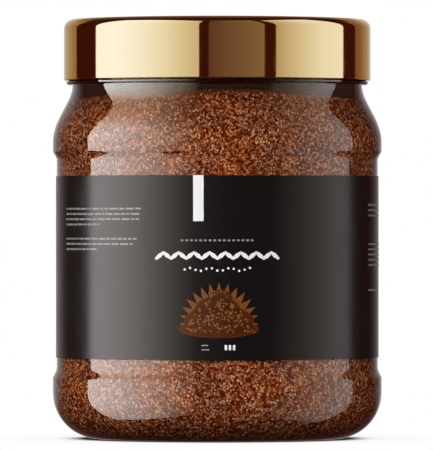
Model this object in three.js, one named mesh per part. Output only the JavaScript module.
// A shut, screw-capped clear jar of palm sugar powder, in millimetres.
// +Z is up the jar's axis and the origin is the middle of its base, on the surface it stands on.
// Every piece is a revolved solid: the clear jar, the gold lid, the dark wrap label and the powder fill.

import * as THREE from 'three';

// Overall sizes: the lid's own outside diameter is the size that everything else was scaled from.
const TOTAL_HEIGHT = 99.1;
const LID_DIAMETER = 72.5;
const LID_HEIGHT = 14.3;
const BODY_DIAMETER = 77.74;
const NECK_DIAMETER = 68.44;

// Clear jar.
const JAR_WALL = 1.6;
const FOOT_RADIUS = 10.9;
const PANEL_DEPTH = 0.91;
const PANEL_BOTTOM = 16.8;
const PANEL_TOP = 65.8;
const PANEL_PULL = 0.9;
const LOWER_BAND_TOP = 14.4;
const UPPER_BAND_BOTTOM = 67.9;
const UPPER_BAND_TOP = 70.0;
const BAND_PULL = 0.3;
const SHOULDER_TOP = 83.8;
const SHOULDER_PULL_TOP = 4.5;
const SHOULDER_PULL_BOTTOM = 5.75;
const NECK_RING_DIAMETER = 71.4;
const NECK_RING_THICKNESS = 0.75;
const NECK_RING_EDGE = 0.2;
const RIM_CLEARANCE = 0.3;

// Lid.
const LID_WALL = 1.2;
const LID_FILLET = 2.25;
const LID_EDGE = 0.25;

// Wrap label, a film round the straight panel.
const LABEL_BOTTOM = 19.2;
const LABEL_TOP = 62.3;
const LABEL_THICKNESS = 0.15;
const LABEL_GAP = 0.05;

// Powder fill: a low uneven dome that stands higher at the front, clear of the jar's inside by the gap.
const SUGAR_GAP = 0.3;
const SUGAR_EDGE_HEIGHT = 79.8;
const SUGAR_DOME_RISE = 3.0;
const SUGAR_DOME_POWER = 1.5;
const SUGAR_DOME_RINGS = 7;
const SUGAR_LIFT = 1.6;
const SUGAR_LIFT_ANGLE = 0.14;
const SUGAR_LIFT_SPREAD = 0.55;
const SUGAR_RIPPLE = 0.35;
const WAVE_ACROSS = { x: 0.31, y: 0.27 };
const WAVE_ALONG = { x: -0.41, y: 0.53 };

// Facets: every piece has the same number round, so that nested pieces keep an even gap.
const SIDES = 64;
const FOOT_STEPS = 6;
const BAND_STEPS = 4;
const SHOULDER_STEPS = 8;
const FILLET_STEPS = 5;
const EDGE_TOLERANCE = 0.001;

const bodyRadius = BODY_DIAMETER / 2;
const panelRadius = bodyRadius - PANEL_DEPTH;
const neckRadius = NECK_DIAMETER / 2;
const lidBottom = TOTAL_HEIGHT - LID_HEIGHT;
const lidUnderside = TOTAL_HEIGHT - LID_WALL;
const jarRim = lidUnderside - RIM_CLEARANCE;

function point(radius, height) {
  return new THREE.Vector2(radius, height);
}

// A smooth step between two radii that leaves and arrives straight up.
function easedStep(from, to, pullFrom, pullTo, steps) {
  const curve = new THREE.CubicBezierCurve(from, point(from.x, from.y + pullFrom), point(to.x, to.y - pullTo), to);
  return curve.getPoints(steps);
}

function quarterArc(centre, radius, startAngle, steps) {
  const points = [];
  for (let step = 0; step <= steps; step += 1) {
    const angle = startAngle + (step / steps) * (Math.PI / 2);
    points.push(point(centre.x + radius * Math.cos(angle), centre.y + radius * Math.sin(angle)));
  }
  return points;
}

// The outside of the jar from the middle of the base up to the neck, without the neck ring.
function bodyOutline() {
  const foot = quarterArc(point(bodyRadius - FOOT_RADIUS, FOOT_RADIUS), FOOT_RADIUS, -Math.PI / 2, FOOT_STEPS);
  const lowerBand = point(bodyRadius, LOWER_BAND_TOP);
  const upperBand = point(bodyRadius, UPPER_BAND_BOTTOM);
  const lowerStep = easedStep(lowerBand, point(panelRadius, PANEL_BOTTOM), BAND_PULL, PANEL_PULL, BAND_STEPS);
  const upperStep = easedStep(point(panelRadius, PANEL_TOP), upperBand, PANEL_PULL, BAND_PULL, BAND_STEPS);
  const shoulder = easedStep(
    point(bodyRadius, UPPER_BAND_TOP),
    point(neckRadius, SHOULDER_TOP),
    SHOULDER_PULL_BOTTOM,
    SHOULDER_PULL_TOP,
    SHOULDER_STEPS,
  );
  return [point(0, 0), ...foot, ...lowerStep, ...upperStep, ...shoulder];
}

// The same outline moved inwards: each point slides along the mean normal of the lines it joins.
function offsetInwards(outline, distance) {
  return outline.map((current, index) => {
    const before = outline[Math.max(index - 1, 0)];
    const after = outline[Math.min(index + 1, outline.length - 1)];
    const arriving = index === 0 ? after.clone().sub(current) : current.clone().sub(before);
    const leaving = index === outline.length - 1 ? current.clone().sub(before) : after.clone().sub(current);
    const inwardA = point(-arriving.y, arriving.x).normalize();
    const inwardB = point(-leaving.y, leaving.x).normalize();
    const mean = inwardA.clone().add(inwardB).normalize();
    return current.clone().addScaledVector(mean, distance / mean.dot(inwardA));
  });
}

// The transfer ring under the lid, a thin collar with bevelled edges.
function neckRing() {
  const outer = NECK_RING_DIAMETER / 2;
  const top = SHOULDER_TOP + NECK_RING_THICKNESS;
  return [
    point(outer - NECK_RING_EDGE, SHOULDER_TOP),
    point(outer, SHOULDER_TOP + NECK_RING_EDGE),
    point(outer, top - NECK_RING_EDGE),
    point(outer - NECK_RING_EDGE, top),
    point(neckRadius, top),
  ];
}

// Revolves a profile of radius and height about +Z.
function revolve(profile) {
  const geometry = new THREE.LatheGeometry(profile, SIDES);
  geometry.rotateX(Math.PI / 2);
  return geometry;
}

function jarGeometry() {
  const outline = bodyOutline();
  const inside = offsetInwards(outline, JAR_WALL).reverse();
  const boreRadius = neckRadius - JAR_WALL;
  const rim = [point(neckRadius, jarRim), point(boreRadius, jarRim)];
  return revolve([...outline, ...neckRing(), ...rim, ...inside]);
}

function lidGeometry() {
  const outer = LID_DIAMETER / 2;
  const inner = outer - LID_WALL;
  const fillet = quarterArc(point(outer - LID_FILLET, TOTAL_HEIGHT - LID_FILLET), LID_FILLET, 0, FILLET_STEPS);
  return revolve([
    point(0, lidUnderside),
    point(inner, lidUnderside),
    point(inner, lidBottom),
    point(outer - LID_EDGE, lidBottom),
    point(outer, lidBottom + LID_EDGE),
    ...fillet,
    point(0, TOTAL_HEIGHT),
  ]);
}

function labelGeometry() {
  const inner = panelRadius + LABEL_GAP;
  const outer = inner + LABEL_THICKNESS;
  return revolve([
    point(inner, LABEL_BOTTOM),
    point(outer, LABEL_BOTTOM),
    point(outer, LABEL_TOP),
    point(inner, LABEL_TOP),
    point(inner, LABEL_BOTTOM),
  ]);
}

// The point at a given height on the side of the fill, which follows the jar's inside.
function sideAt(inside, height) {
  const above = inside.findIndex((spot) => spot.y > height);
  const below = inside[above - 1];
  return below.clone().lerp(inside[above], (height - below.y) / (inside[above].y - below.y));
}

function sugarGeometry() {
  const inside = offsetInwards(bodyOutline(), JAR_WALL + SUGAR_GAP);
  const edge = sideAt(inside, SUGAR_EDGE_HEIGHT);
  const side = [...inside.filter((spot) => spot.y < SUGAR_EDGE_HEIGHT), edge];
  const dome = [];
  for (let ring = SUGAR_DOME_RINGS - 1; ring >= 0; ring -= 1) {
    const share = ring / SUGAR_DOME_RINGS;
    dome.push(point(edge.x * share, edge.y + SUGAR_DOME_RISE * (1 - share ** SUGAR_DOME_POWER)));
  }
  const geometry = revolve([...side, ...dome]);
  settleTop(geometry, inside, edge);
  return geometry;
}

// How much higher than its lowest edge the powder stands against the wall, largest near the front.
function wallLift(x, y) {
  const angle = Math.atan2(x, -y) - SUGAR_LIFT_ANGLE;
  return SUGAR_LIFT * Math.exp(-((angle / SUGAR_LIFT_SPREAD) ** 2));
}

// Long, low waves that die out at the dome's edge and its middle.
function ripple(x, y, share) {
  const across = Math.sin(WAVE_ACROSS.x * x) * Math.cos(WAVE_ACROSS.y * y);
  const along = Math.sin(WAVE_ALONG.x * x + WAVE_ALONG.y * y);
  return SUGAR_RIPPLE * (across + along) * 4 * share * (1 - share);
}

// Settled powder isn't even: its top is lifted and rippled, and its edge stays against the jar's inside.
function settleTop(geometry, inside, edge) {
  const positions = geometry.attributes.position;
  for (let index = 0; index < positions.count; index += 1) {
    const x = positions.getX(index);
    const y = positions.getY(index);
    const z = positions.getZ(index);
    const radius = Math.hypot(x, y);
    const share = Math.min(radius / edge.x, 1);
    if (z > edge.y - EDGE_TOLERANCE) {
      const height = z + wallLift(x, y) * share ** 2 + ripple(x, y, share);
      const isEdge = Math.abs(radius - edge.x) < EDGE_TOLERANCE;
      const scale = isEdge ? sideAt(inside, height).x / radius : 1;
      positions.setXYZ(index, x * scale, y * scale, height);
    }
  }
}

function piece(name, geometry, color, roughness, metalness) {
  const material = new THREE.MeshStandardMaterial({ color, roughness, metalness });
  const mesh = new THREE.Mesh(geometry, material);
  mesh.name = name;
  return mesh;
}

const jarOfSugar = new THREE.Group();
jarOfSugar.add(piece('jar', jarGeometry(), 0xe8eef0, 0.05, 0.0));
jarOfSugar.add(piece('lid', lidGeometry(), 0xd9b873, 0.08, 1.0));
jarOfSugar.add(piece('label', labelGeometry(), 0x1a1a1a, 0.3, 0.0));
jarOfSugar.add(piece('sugar', sugarGeometry(), 0x6a3a1e, 0.9, 0.0));

export default jarOfSugar;
